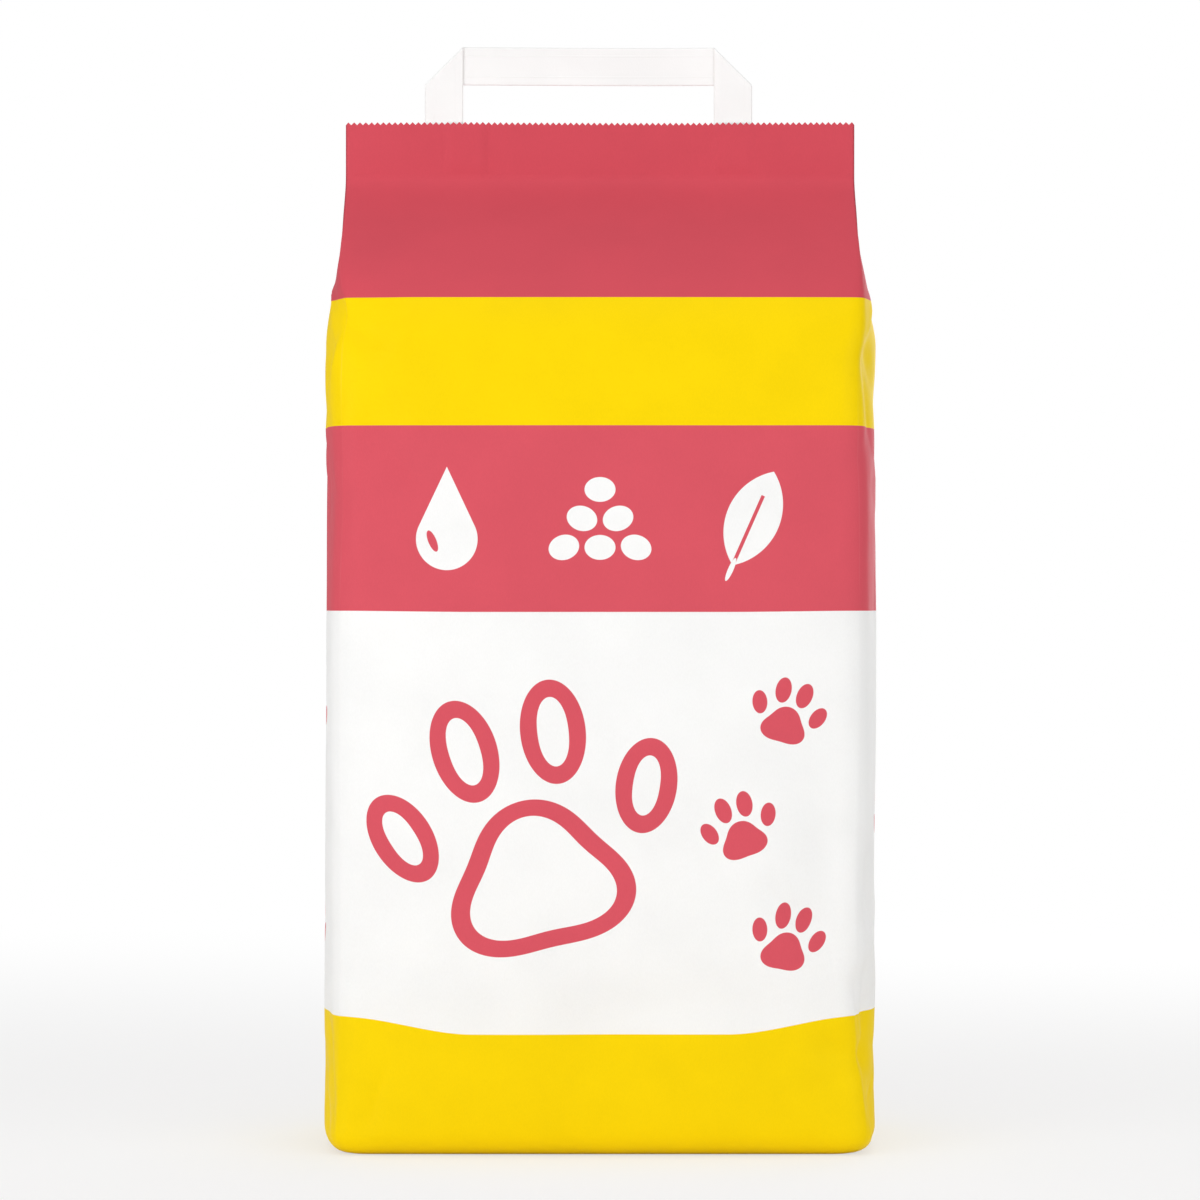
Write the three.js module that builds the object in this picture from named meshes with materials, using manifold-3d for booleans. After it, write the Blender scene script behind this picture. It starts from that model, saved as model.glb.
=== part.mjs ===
// A filled block-bottom paper sack of cat litter, with a flat paper carrying handle.
// Millimetres, +Z up, -Y is the printed front. The origin is the middle of the base, on the floor.

import * as THREE from 'three';
import { mergeVertices } from 'three/addons/utils/BufferGeometryUtils.js';
import Module from 'manifold-3d';

// Sack, laid flat
const panelWidth = 200; // front and back panel, crease to crease
const gussetWidth = 110; // side gusset, crease to crease
const bagHeight = 399.5; // floor to the tips of the cut edge
const sealHeight = 22; // flat glued closure at the top
const roofHeight = 76; // sloping part between the filled body and the closure
const plyThickness = 0.35; // paper on either side of the handle's tails

// Sack, filled
const frontBelly = 9; // outward bulge of the front and back panels
const sideBelly = 7.6; // outward bulge of the side gussets
const middleDip = 1.2; // valley that is left along the middle crease of a gusset
const dipReach = 8; // distance over which the valley fades
const creaseRadius = 9; // rounding of the four upright creases in the filled body
const baseRadius = 9; // rounding of the fold round the base
const baseSpread = 4; // how far the squared base pulls each upright crease out, with paper from the gusset
const spreadHeight = 70; // where that pull has died away

// Pinked edge left by the knife along the top
const toothPitch = 2.3;
const toothDepth = 1;

// Handle: one flat tape, folded over at 45 degrees at both upper corners
const tapeWidth = 15;
const tapeThickness = 0.9;
const handleSpan = 128.5; // outer edge to outer edge of the legs
const handleRise = 29.7; // above the cut edge
const handleShift = -4.5; // the handle sits a little to the left of the middle
const tailMargin = 4; // left below the handle's tails in the closure
const clearance = 0.3; // between the tails and the paper round them

// Shape of the curves, as plain ratios
const bellyHeightPower = 0.6; // under 1 puts the widest bulge low in the body
const bellyFlatness = 3.2; // higher is flatter across the middle of a panel
const roofPower = 2.4; // higher keeps the shoulder full for longer
const flarePower = 1.5; // over 1 lets the roof run smoothly into the closure
const tuckStart = 0.1; // share of the roof where the gusset starts to fold inwards
const tuckEnd = 0.85; // share of the roof where it is folded in flat

// Fineness of the faceted sack
const panelSteps = 7; // over half a panel
const creaseSteps = 3;
const gussetSteps = 10; // over half a gusset
const baseRings = 4;
const bodyRings = 11;
const roofRings = 22;
const weldDistance = 1e-4; // points closer than this become one

// Sizes that follow from those above
const halfPanel = panelWidth / 2;
const halfGusset = gussetWidth / 2;
const sealThickness = tapeThickness + 2 * (clearance + plyThickness);
const sealFoot = bagHeight - sealHeight;
const shoulder = sealFoot - roofHeight;
const lapIntoSeal = sealHeight / 10; // how far the closure's plate and the roof run into each other
const tailDepth = sealHeight - tailMargin;
const foldLap = tapeThickness / 10; // how far the tape's two layers press into each other at a fold

const wasm = await Module();
wasm.setup();

function smoothstep(low, high, value) {
  const share = THREE.MathUtils.clamp((value - low) / (high - low), 0, 1);
  return share * share * (3 - 2 * share);
}

// Share of the roof climbed at height z: 0 up to the shoulder, 1 at the foot of the closure.
function roofShare(z) {
  return THREE.MathUtils.clamp((z - shoulder) / roofHeight, 0, 1);
}

// The section at height z, as the few measures that shape its outline. The gusset is as wide as its
// paper. In the body it is a parabola, whose half is as long as the root of its depth squared and 4/3 of
// its bulge squared. Where the panels close in, its middle crease goes inwards, and what is still left of
// its width bulges out as a lip beside each upright crease, shaped as half a sine wave of that length.
// The upright creases grow sharper up the roof, where the paper folds along them.
function sectionAt(z) {
  const climbed = roofShare(z);
  const spread = baseSpread * (1 - smoothstep(0, spreadHeight, z));
  const bulge = sideBelly - spread;
  const fullDepth = Math.sqrt((halfGusset - spread) ** 2 - (4 / 3) * bulge ** 2);
  const sealHalf = sealThickness / 2;
  const halfDepth = sealHalf + (fullDepth - sealHalf) * (1 - climbed ** roofPower) ** flarePower;
  const tucked = smoothstep(tuckStart, tuckEnd, climbed);
  const tuck = tucked * Math.sqrt(halfGusset ** 2 - halfDepth ** 2);
  const chord = Math.hypot(halfDepth, tuck);
  const sparePaper = Math.max(halfGusset - chord, 0);
  const heightShare = THREE.MathUtils.clamp(z / sealFoot, 0, 1);
  return {
    halfDepth,
    halfWidth: halfPanel + spread,
    belly: frontBelly * Math.sin(Math.PI * heightShare ** bellyHeightPower),
    arch: bulge * (1 - tucked),
    dip: middleDip * (1 - tucked),
    tuck,
    lip: (tucked * 2 * Math.sqrt(sparePaper * chord)) / Math.PI,
    creaseRound: Math.min(Math.max(creaseRadius * (1 - climbed) ** 2, plyThickness), halfDepth / 2),
  };
}

// The same section drawn in by an inset all round, for the rounded fold at the base.
function insetSection(section, inset) {
  return { ...section, halfDepth: section.halfDepth - inset, halfWidth: section.halfWidth - inset };
}

// A quarter of the outline, from the middle of the front panel to the middle of the right gusset.
// The panel is a bulged line, the gusset an arch with a valley down its middle that turns into a lip and
// a tuck, and a Bezier curve rounds the crease between them.
function quarterOutline(section) {
  const { halfDepth, halfWidth, belly, arch, dip, tuck, lip, creaseRound } = section;
  const onPanel = (x) => {
    const bulge = belly * (1 - (x / halfWidth) ** bellyFlatness);
    return new THREE.Vector2(x, -halfDepth - bulge);
  };
  const onGusset = (share) => {
    const reach = arch * (1 - share ** 2) - tuck * (1 - share) + lip * Math.sin(Math.PI * share);
    const valley = dip * Math.exp((-halfDepth * share) / dipReach);
    return new THREE.Vector2(halfWidth + reach - valley, -halfDepth * share);
  };
  const crease = new THREE.Vector2(halfWidth, -halfDepth);
  const panelEnd = halfWidth - creaseRound;
  const gussetStart = 1 - creaseRound / Math.hypot(halfDepth, tuck);
  const rounding = new THREE.QuadraticBezierCurve(onPanel(panelEnd), crease, onGusset(gussetStart));
  const points = [];
  for (let step = 0; step < panelSteps; step++) {
    points.push(onPanel((panelEnd * step) / panelSteps));
  }
  for (let step = 0; step < creaseSteps; step++) {
    points.push(rounding.getPoint(step / creaseSteps));
  }
  for (let step = 0; step <= gussetSteps; step++) {
    points.push(onGusset(gussetStart * (1 - step / gussetSteps)));
  }
  return points;
}

// The whole outline, counter-clockwise from above, by mirroring the quarter.
function outline(section) {
  const quarter = quarterOutline(section);
  const backRight = quarter.slice(0, -1).reverse().map((p) => new THREE.Vector2(p.x, -p.y));
  const right = [...quarter, ...backRight];
  const left = right.slice(1, -1).reverse().map((p) => new THREE.Vector2(-p.x, p.y));
  return [...right, ...left];
}

// Rings of the sack from the base to inside the closure: the base fold is a quarter circle.
function sackRings() {
  const rings = [];
  const add = (z, section) => rings.push({ z, points: outline(section) });
  for (let step = 0; step < baseRings; step++) {
    const turn = ((Math.PI / 2) * step) / baseRings;
    const z = baseRadius * (1 - Math.cos(turn));
    add(z, insetSection(sectionAt(z), baseRadius * (1 - Math.sin(turn))));
  }
  for (let step = 0; step < bodyRings; step++) {
    const z = baseRadius + ((shoulder - baseRadius) * step) / bodyRings;
    add(z, sectionAt(z));
  }
  for (let step = 0; step <= roofRings; step++) {
    const z = shoulder + (roofHeight * step) / roofRings;
    add(z, sectionAt(z));
  }
  const buried = insetSection(sectionAt(sealFoot), plyThickness);
  add(sealFoot + lapIntoSeal, buried);
  return rings;
}

// A closed geometry over a stack of rings with the same number of points, capped at both ends.
function loft(rings) {
  const count = rings[0].points.length;
  const position = rings.flatMap(({ z, points }) => points.flatMap((p) => [p.x, p.y, z]));
  const index = [];
  for (let ring = 0; ring + 1 < rings.length; ring++) {
    for (let point = 0; point < count; point++) {
      const here = ring * count + point;
      const next = ring * count + ((point + 1) % count);
      index.push(here, next, here + count, next, next + count, here + count);
    }
  }
  const lastRing = (rings.length - 1) * count;
  for (const [a, b, c] of THREE.ShapeUtils.triangulateShape(rings[0].points, [])) {
    index.push(a, c, b);
  }
  for (const [a, b, c] of THREE.ShapeUtils.triangulateShape(rings.at(-1).points, [])) {
    index.push(lastRing + a, lastRing + b, lastRing + c);
  }
  const geometry = new THREE.BufferGeometry();
  geometry.setAttribute('position', new THREE.Float32BufferAttribute(position, 3));
  geometry.setIndex(index);
  return geometry;
}

// A flat plate: an outline in X and Z, given as [x, z] pairs, with its front face at y = front.
function plate(corners, front, thickness) {
  const shape = new THREE.Shape(corners.map(([x, z]) => new THREE.Vector2(x, z)));
  const geometry = new THREE.ExtrudeGeometry(shape, { depth: thickness, bevelEnabled: false });
  geometry.rotateX(Math.PI / 2);
  geometry.translate(0, front + thickness, 0);
  return geometry;
}

function toSolid(geometry) {
  const bare = geometry.clone();
  bare.deleteAttribute('normal');
  bare.deleteAttribute('uv');
  const merged = mergeVertices(bare, weldDistance);
  const vertProperties = new Float32Array(merged.attributes.position.array);
  const triVerts = new Uint32Array(merged.index.array);
  return new wasm.Manifold(new wasm.Mesh({ numProp: 3, vertProperties, triVerts }));
}

function toGeometry(solid) {
  const mesh = solid.getMesh();
  const geometry = new THREE.BufferGeometry();
  geometry.setAttribute('position', new THREE.Float32BufferAttribute(mesh.vertProperties, 3));
  geometry.setIndex([...mesh.triVerts]);
  geometry.computeVertexNormals();
  return geometry;
}

// Outer and inner edge of each of the handle's legs, left first.
function legEdges() {
  const leftOuter = handleShift - handleSpan / 2;
  const rightOuter = handleShift + handleSpan / 2;
  return [
    { outer: leftOuter, inner: leftOuter + tapeWidth },
    { outer: rightOuter, inner: rightOuter - tapeWidth },
  ];
}

// The glued closure: a flat plate whose top edge is pinked from one end to the other.
function closurePlate() {
  const teeth = Math.max(1, Math.round(panelWidth / toothPitch));
  const corners = [
    [-halfPanel, sealFoot - lapIntoSeal],
    [halfPanel, sealFoot - lapIntoSeal],
  ];
  for (let half = 2 * teeth; half >= 0; half--) {
    const x = -halfPanel + (panelWidth * half) / (2 * teeth);
    corners.push([x, half % 2 ? bagHeight : bagHeight - toothDepth]);
  }
  return plate(corners, -sealThickness / 2, sealThickness);
}

// The pocket between the plies that a leg's tail is glued into, open at the top.
function tailPocket({ outer, inner }) {
  const left = Math.min(outer, inner) - clearance;
  const right = Math.max(outer, inner) + clearance;
  const bottom = bagHeight - tailDepth - clearance;
  const top = bagHeight + toothDepth;
  const corners = [[left, bottom], [right, bottom], [right, top], [left, top]];
  const width = tapeThickness + 2 * clearance;
  return plate(corners, -width / 2, width);
}

function sack() {
  let solid = toSolid(loft(sackRings())).add(toSolid(closurePlate()));
  for (const leg of legEdges()) {
    solid = solid.subtract(toSolid(tailPocket(leg)));
  }
  return toGeometry(solid);
}

// The handle: each leg rises from its tail to the 45 degree fold, and the grip lies behind both legs.
function handle() {
  const top = bagHeight + handleRise;
  const foldFoot = top - tapeWidth;
  const tailEnd = bagHeight - tailDepth;
  const [left, right] = legEdges();
  const legs = [left, right].map(({ outer, inner }) => {
    const corners = [[outer, tailEnd], [inner, tailEnd], [inner, top], [outer, foldFoot]];
    return plate(corners, -tapeThickness / 2, tapeThickness);
  });
  const gripCorners = [
    [left.outer, foldFoot],
    [right.outer, foldFoot],
    [right.inner, top],
    [left.inner, top],
  ];
  const grip = plate(gripCorners, tapeThickness / 2 - foldLap, tapeThickness);
  const solid = legs.reduce((joined, leg) => joined.add(toSolid(leg)), toSolid(grip));
  return toGeometry(solid);
}

const printedPaper = new THREE.MeshStandardMaterial({ color: 0xd4505e, roughness: 0.55, metalness: 0 });
const whitePaper = new THREE.MeshStandardMaterial({ color: 0xf6f6f4, roughness: 0.7, metalness: 0 });

function named(name, geometry, material) {
  const mesh = new THREE.Mesh(geometry, material);
  mesh.name = name;
  return mesh;
}

const catLitterBag = new THREE.Group();
catLitterBag.add(named('paper_sack', sack(), printedPaper));
catLitterBag.add(named('carry_handle', handle(), whitePaper));

export default catLitterBag;
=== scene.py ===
# A printed paper sack of cat litter, filled and glued shut, with a flat paper carrying handle.
# Metres, +Z up, -Y is the printed front. Every piece keeps the place of the solid that it replaces.

import math

import bpy
import numpy as np
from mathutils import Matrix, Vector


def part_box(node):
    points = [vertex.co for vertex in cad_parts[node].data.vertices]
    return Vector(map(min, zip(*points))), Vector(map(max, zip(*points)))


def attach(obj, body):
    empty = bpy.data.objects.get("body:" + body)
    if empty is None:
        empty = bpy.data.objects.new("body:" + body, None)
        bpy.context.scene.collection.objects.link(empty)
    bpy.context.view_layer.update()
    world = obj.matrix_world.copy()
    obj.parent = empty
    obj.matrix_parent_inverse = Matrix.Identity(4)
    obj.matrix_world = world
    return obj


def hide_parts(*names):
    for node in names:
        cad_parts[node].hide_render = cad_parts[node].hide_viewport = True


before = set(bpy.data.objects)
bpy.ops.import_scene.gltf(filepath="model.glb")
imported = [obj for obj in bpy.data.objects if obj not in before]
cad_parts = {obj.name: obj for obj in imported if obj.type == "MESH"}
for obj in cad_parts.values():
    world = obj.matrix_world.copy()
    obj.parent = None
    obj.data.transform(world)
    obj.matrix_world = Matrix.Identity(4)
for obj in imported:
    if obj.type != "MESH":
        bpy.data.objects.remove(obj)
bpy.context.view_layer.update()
_, sack_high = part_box("paper_sack")
handle_low, handle_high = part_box("carry_handle")

MM = 0.001

# Sack: the paper laid flat, and what filling does to it
BAG_HEIGHT = sack_high.z
HALF_PANEL = 100 * MM
HALF_GUSSET = 55 * MM
FRONT_BELLY = 9 * MM
SIDE_BELLY = 7.6 * MM
MIDDLE_DIP = 1.2 * MM
DIP_REACH = 8 * MM
SEAL_HEIGHT = 22 * MM
ROOF_HEIGHT = 76 * MM
SEAL_HALF = 1.1 * MM
CREASE_RADIUS = 9 * MM
BASE_RADIUS = 9 * MM
BASE_SPREAD = 4 * MM
SPREAD_HEIGHT = 70 * MM
PLY = 0.3 * MM
BELLY_HEIGHT_POWER = 0.6
BELLY_FLATNESS = 3.2
ROOF_POWER = 2.4
FLARE_POWER = 1.5
TUCK_START = 0.1
TUCK_END = 0.85
SEAL_FOOT = BAG_HEIGHT - SEAL_HEIGHT
SHOULDER = SEAL_FOOT - ROOF_HEIGHT
PERIMETER = 4 * (HALF_PANEL + HALF_GUSSET)
HALF_ROUND = PERIMETER / 2
LAP_EDGE = HALF_ROUND + 92 * MM
LAP_WIDTH = 14 * MM
GABLE_COSINE = math.cos(math.atan2(HALF_GUSSET, TUCK_END * ROOF_HEIGHT))

# Factory folds: how far each stands out or goes in, and how fast it fades beside its line
UPRIGHT_RIDGE = 0.25 * MM
UPRIGHT_FADE = 1.8 * MM
MIDDLE_GROOVE = 0.35 * MM
MIDDLE_FADE = 1.6 * MM
FOOT_GROOVE = 0.45 * MM
FOOT_FADE = 2.2 * MM
LEVEL_GROOVE = 0.25 * MM
LEVEL_FADE = 2.5 * MM
GABLE_RIDGE = 1.1 * MM
GABLE_FADE = 4.5 * MM
LAP_STEP = 0.4 * MM
LAP_CUT = 0.6 * MM

# Dents and creases from filling and handling, with ranges as (least, most)
DENTS = 70
DENT_SIZES = (14 * MM, 40 * MM)
DENT_HEIGHTS = (0.02, 0.32)
DENT_STRETCHES = (0.7, 1.8)
DENT_DEPTH = 0.65 * MM
SIDE_HOLLOW = {"at": 88 * MM, "up": 108 * MM, "wide": 12 * MM, "tall": 52 * MM, "depth": -1.8 * MM}
FOOT_HOLLOW = {"at": 34 * MM, "up": 60 * MM, "wide": 44 * MM, "tall": 9 * MM, "depth": -1.1 * MM}
CREASES_PER_CORNER = 26
CREASE_PLACES = (-14 * MM, 52 * MM)
CREASE_LENGTHS = (25 * MM, 75 * MM)
CREASE_WIDTHS = (3 * MM, 10 * MM)
CREASE_SLOPES = (0.1, 0.38)
INWARD_SHARE = 0.7
CREASE_SOFTNESS = 1.2 * MM
SHOULDER_FAN = (SHOULDER + 16 * MM, (-0.45, -0.8, -1.2))
BASE_FAN = (4 * MM, (0.55, 1.1))
FAN_LEAN = 0.12
FAN_LENGTHS = (55 * MM, 95 * MM)
TAUT_SHARE = 0.2
OUTWARD_LIMIT = 0.8 * MM
CALM_FOOT = 14 * MM
CALM_TOP = (SEAL_FOOT - 25 * MM, SEAL_FOOT - 3 * MM)

# Closure: the plies, the pinked edge and the tails pressed between them
TEETH = 87
TOOTH_DEPTH = 1.1 * MM
MIDDLE_HALF = 0.45 * MM
GUSSET_HALF = 0.8 * MM
TAIL_HALF = 1.25 * MM
FOLD_THICKNESS = 0.7 * MM
GLUE_DEPTH = 2.5 * MM
SWAY = 0.9 * MM
SWAY_LENGTH = 150 * MM
SWAY_PHASE = 0.7
TAIL_BEND = 1.2 * MM
PLY_BEND = 1.5 * MM
PRESSED_HEIGHT = 20 * MM
LIP_SHARE = 0.85

# Handle: one flat tape, from the frame
TAPE_WIDTH = 15 * MM
TAPE_THICKNESS = 0.8 * MM
FOLD_RADIUS = 0.45 * MM
HANDLE_BOW = (0.4 * MM, 1.3 * MM)
HANDLE_MIDDLE = (handle_low.x + handle_high.x) / 2
LEG_X = handle_low.x + TAPE_WIDTH / 2
GRIP_Z = handle_high.z - TAPE_WIDTH / 2
TAIL_Z = handle_low.z
LEFT_TAIL = (handle_low.x, handle_low.x + TAPE_WIDTH)
RIGHT_TAIL = (handle_high.x - TAPE_WIDTH, handle_high.x)

# Print: heights on the paper where one field of colour ends and the next begins
BASE_FIELD_TOP = 53.8 * MM
BASE_FIELD_SAG = 5.6 * MM
SAG_FADE = 60 * MM
SAG_FLAT = 48 * MM
SAG_END = 98 * MM
PICTURE_FIELD_TOP = 207.8 * MM
BAND_TOP = 278.2 * MM
STRIPE_TOP = 327.2 * MM
INK_EDGE = 0.12 * MM
RUBBED_WIDTH = 1.6 * MM
UNRUBBED = 1.0 * MM
LARGE_PAW = 118 * MM
LARGE_PAW_X = -27 * MM
LARGE_PAW_Z = 126 * MM
LARGE_PAW_TURN = -0.22
PAW_STROKE = 6.5 * MM
TRAIL_PAW = 29 * MM
TRAIL_X = 62 * MM
TRAIL_FOOT = 64 * MM
TRAIL_PITCH = 42 * MM
TRAIL_STEPS = 3
TRAIL_SWING = 9 * MM
TRAIL_TURN = 0.3
SIGN_SIZE = 39 * MM
SIGN_PITCH = 58 * MM
LEAF_TURN = 0.42

# Fineness of the sack's grid
GUSSET_COLUMNS = 48
BASE_ROWS = 9
BODY_ROWS = 110
ROOF_ROWS = 46
SEAL_ROWS = 11

# Camera: the photograph's distance, height and width of view in the plane of the handle
CAMERA_DISTANCE = 1.6
CAMERA_HEIGHT = 0.2119
VIEW_WIDTH = 0.4715
SENSOR = 36.0

# Light: level of the even surround, where white paper would be 1 by itself
AMBIENT = 0.5


def smoothstep(low, high, value):
    """0 below low, 1 above high, and an S curve 3t^2 - 2t^3 between them."""
    share = np.clip((value - low) / (high - low), 0, 1)
    return share * share * (3 - 2 * share)


def band(low, high, edge, value):
    """1 between low and high, falling to 0 over an edge on either side."""
    return smoothstep(low - edge, low + edge, value) * (1 - smoothstep(high - edge, high + edge, value))


def sway(x, z):
    """How far the closure and the handle lean out of their plane: a long sine wave that grows upwards."""
    grown = smoothstep(SEAL_FOOT - ROOF_HEIGHT / 2, BAG_HEIGHT, z)
    return SWAY * grown * np.sin(2 * np.pi * x / SWAY_LENGTH + SWAY_PHASE)


def closure_half(x, z):
    """Half the closure's thickness: two plies in the middle, four beside them, and more over the tails."""
    tails = band(*LEFT_TAIL, TAIL_BEND, x) + band(*RIGHT_TAIL, TAIL_BEND, x)
    tails = tails * smoothstep(TAIL_Z - 3 * MM, TAIL_Z + 1 * MM, z)
    sides = smoothstep(-PLY_BEND, PLY_BEND, np.abs(x) - (HALF_PANEL - HALF_GUSSET))
    return MIDDLE_HALF + (GUSSET_HALF - MIDDLE_HALF) * sides + (TAIL_HALF - GUSSET_HALF) * tails


def section_measures(z):
    """The measures of the level section at height z, as in the solid: the roof closes in as a power of the
    climb, the gusset keeps its paper's width, and what its tuck leaves over is a lip beside the crease."""
    climbed = np.clip((z - SHOULDER) / ROOF_HEIGHT, 0, 1)
    spread = BASE_SPREAD * (1 - smoothstep(0, SPREAD_HEIGHT, z))
    bulge = SIDE_BELLY - spread
    full_depth = np.sqrt((HALF_GUSSET - spread) ** 2 - 4 / 3 * bulge**2)
    half_depth = SEAL_HALF + (full_depth - SEAL_HALF) * (1 - climbed**ROOF_POWER) ** FLARE_POWER
    tucked = smoothstep(TUCK_START, TUCK_END, climbed)
    tuck = tucked * np.sqrt(HALF_GUSSET**2 - half_depth**2)
    chord = np.hypot(half_depth, tuck)
    spare = np.maximum(HALF_GUSSET - chord, 0)
    climb_share = np.clip(z / SEAL_FOOT, 0, 1) ** BELLY_HEIGHT_POWER
    return {
        "half_depth": half_depth,
        "half_width": HALF_PANEL + spread,
        "belly": FRONT_BELLY * np.sin(np.pi * climb_share),
        "arch": bulge * (1 - tucked),
        "dip": MIDDLE_DIP * (1 - tucked),
        "tuck": tuck,
        "lip": tucked * 2 * np.sqrt(spare * chord) / np.pi,
        "round": np.minimum(np.maximum(CREASE_RADIUS * (1 - climbed) ** 2, PLY), half_depth / 2),
        "pressed": smoothstep(SEAL_FOOT - PRESSED_HEIGHT, SEAL_FOOT, z),
    }


def sack_columns():
    """Columns of the grid, counter-clockwise from the front's left crease. Each has the side that it is on,
    its share of half that side (0 in the middle, 1 at a crease), the signs that mirror the quarter outline,
    and its distance along the paper from the middle of the front."""
    panel = np.linspace(-1, 1, 2 * TEETH + 1)[:-1]
    gusset = np.linspace(-1, 1, 2 * GUSSET_COLUMNS + 1)[:-1]
    ones_panel, ones_gusset = np.ones_like(panel), np.ones_like(gusset)
    across = np.concatenate([panel, gusset, panel, gusset])
    on_panel = np.concatenate([ones_panel, 0 * ones_gusset, ones_panel, 0 * ones_gusset]) > 0
    side_x = np.concatenate([np.sign(panel), ones_gusset, -np.sign(panel), -ones_gusset])
    side_y = np.concatenate([-ones_panel, np.sign(gusset), ones_panel, -np.sign(gusset)])
    along = np.concatenate([
        panel * HALF_PANEL,
        HALF_PANEL + (gusset + 1) * HALF_GUSSET,
        HALF_ROUND + panel * HALF_PANEL,
        HALF_ROUND + HALF_PANEL + (gusset + 1) * HALF_GUSSET,
    ])
    return {"share": np.abs(across), "on_panel": on_panel, "x": side_x, "y": side_y, "along": along}


def meeting_columns():
    """For each column, the column that it is glued to at the top: front to back in the middle, and each
    half gusset to the panel beside it. Columns with the same number meet in one point."""
    panel, gusset = 2 * TEETH, 2 * GUSSET_COLUMNS
    right, back, left = panel, panel + gusset, 2 * panel + gusset
    meets = np.arange(2 * (panel + gusset))
    middle = np.arange(GUSSET_COLUMNS, panel - GUSSET_COLUMNS + 1)
    meets[back + panel - middle] = middle
    inwards = np.arange(1, GUSSET_COLUMNS)
    meets[right + inwards] = panel - inwards
    meets[right + gusset - inwards] = back + inwards
    meets[left + inwards] = back + panel - inwards
    meets[left + gusset - inwards] = inwards
    meets[right + GUSSET_COLUMNS] = panel - GUSSET_COLUMNS
    meets[left + GUSSET_COLUMNS] = GUSSET_COLUMNS
    return meets


def quarter_point(measures, share, on_panel, z):
    """A point of the quarter outline. The panel bulges by 1 - share^flatness, the gusset is an arch with a
    valley, a tuck and a half sine lip, and a quadratic Bezier curve at the corner rounds the crease."""
    depth, half_width, tuck = measures["half_depth"], measures["half_width"], measures["tuck"]
    pressed, round_off = measures["pressed"], measures["round"]

    def on_front(part):
        x = part * half_width
        flat = depth + pressed * (closure_half(x, z) - SEAL_HALF)
        return x, flat + measures["belly"] * (1 - part**BELLY_FLATNESS)

    def on_side(part):
        reach = measures["arch"] * (1 - part**2) - tuck * (1 - part)
        valley = measures["dip"] * np.exp(-depth * part / DIP_REACH)
        x = half_width + reach - valley + measures["lip"] * np.sin(np.pi * part)
        slot = (closure_half(x, z) - FOLD_THICKNESS) * smoothstep(0, 0.06, part)
        return x, (depth - SEAL_HALF * pressed) * part + slot * pressed

    panel_end = 1 - round_off / half_width
    gusset_start = 1 - round_off / np.hypot(depth, tuck)
    start_x, start_y = on_front(panel_end)
    stop_x, stop_y = on_side(gusset_start)
    corner_y = depth + pressed * (closure_half(half_width, z) - SEAL_HALF - FOLD_THICKNESS / 2)
    turn_panel = 0.5 * (share - panel_end) / (1 - panel_end)
    turn_gusset = 1 - 0.5 * (share - gusset_start) / (1 - gusset_start)
    turn = np.clip(np.where(on_panel, turn_panel, turn_gusset), 0, 1)
    near_start, near_corner, near_stop = (1 - turn) ** 2, 2 * turn * (1 - turn), turn**2
    round_x = near_start * start_x + near_corner * half_width + near_stop * stop_x
    round_y = near_start * start_y + near_corner * corner_y + near_stop * stop_y
    front_x, front_y = on_front(np.minimum(share, panel_end))
    side_x, side_y = on_side(np.minimum(share, gusset_start))
    plain_x = np.where(on_panel, front_x, side_x)
    plain_y = np.where(on_panel, front_y, side_y)
    rounded = share > np.where(on_panel, panel_end, gusset_start)
    return np.where(rounded, round_x, plain_x), np.where(rounded, round_y, plain_y)


def sack_rows():
    """Heights of the grid's rows and how far each is drawn in: a quarter circle round the base, then even
    steps up the body, the roof and the closure."""
    turn = np.linspace(0, np.pi / 2, BASE_ROWS, endpoint=False)
    body = np.linspace(BASE_RADIUS, SHOULDER, BODY_ROWS, endpoint=False)
    roof = np.linspace(SHOULDER, SEAL_FOOT, ROOF_ROWS, endpoint=False)
    seal = np.linspace(SEAL_FOOT, BAG_HEIGHT - 2 * TOOTH_DEPTH, SEAL_ROWS)
    height = np.concatenate([BASE_RADIUS * (1 - np.cos(turn)), body, roof, seal, [BAG_HEIGHT]])
    inset = np.zeros_like(height)
    inset[:BASE_ROWS] = BASE_RADIUS * (1 - np.sin(turn))
    return height[:, None], inset[:, None]


def wrapped(distance):
    """A distance round the sack, the short way."""
    return (distance + HALF_ROUND) % PERIMETER - HALF_ROUND


def from_gusset_middle(along):
    """How far along the paper the nearest middle crease of a gusset is."""
    return HALF_ROUND / 2 - np.abs(wrapped(2 * along)) / 2


def settled_dents(along, height):
    """Soft hollows and swellings where the granules have settled: a sum of Gaussian spots of a seeded draw,
    with the two hollows that show on the front."""
    draw = np.random.default_rng(11)
    relief = np.zeros(np.broadcast(along, height).shape)

    def spot(at, up, wide, tall, depth):
        away = (wrapped(along - at) / wide) ** 2 + ((height - up) / tall) ** 2
        return depth * np.exp(-away)

    for _ in range(DENTS):
        size = draw.uniform(*DENT_SIZES)
        at = draw.uniform(-HALF_ROUND, HALF_ROUND)
        up = draw.uniform(*DENT_HEIGHTS)
        tall = size * draw.uniform(*DENT_STRETCHES)
        relief += spot(at, up, size, tall, draw.normal(0, DENT_DEPTH))
    return relief + spot(**SIDE_HOLLOW) + spot(**FOOT_HOLLOW)


def crease_line(along, height, start, end, width):
    """1 on a straight crease, falling off as exp(-distance / width) beside it and to nothing at its ends.
    The distance is softened as a hyperbola, so that the crease is a narrow bend."""
    run, rise = end[0] - start[0], end[1] - start[1]
    length = math.hypot(run, rise)
    off_x, off_z = wrapped(along - start[0]), height - start[1]
    forward = (off_x * run + off_z * rise) / length
    beside = (off_z * run - off_x * rise) / length
    ends = smoothstep(0, 0.35 * length, forward) * (1 - smoothstep(0.65 * length, length, forward))
    bent = np.hypot(beside, CREASE_SOFTNESS) - CREASE_SOFTNESS
    return ends * np.exp(-bent / width)


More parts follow.
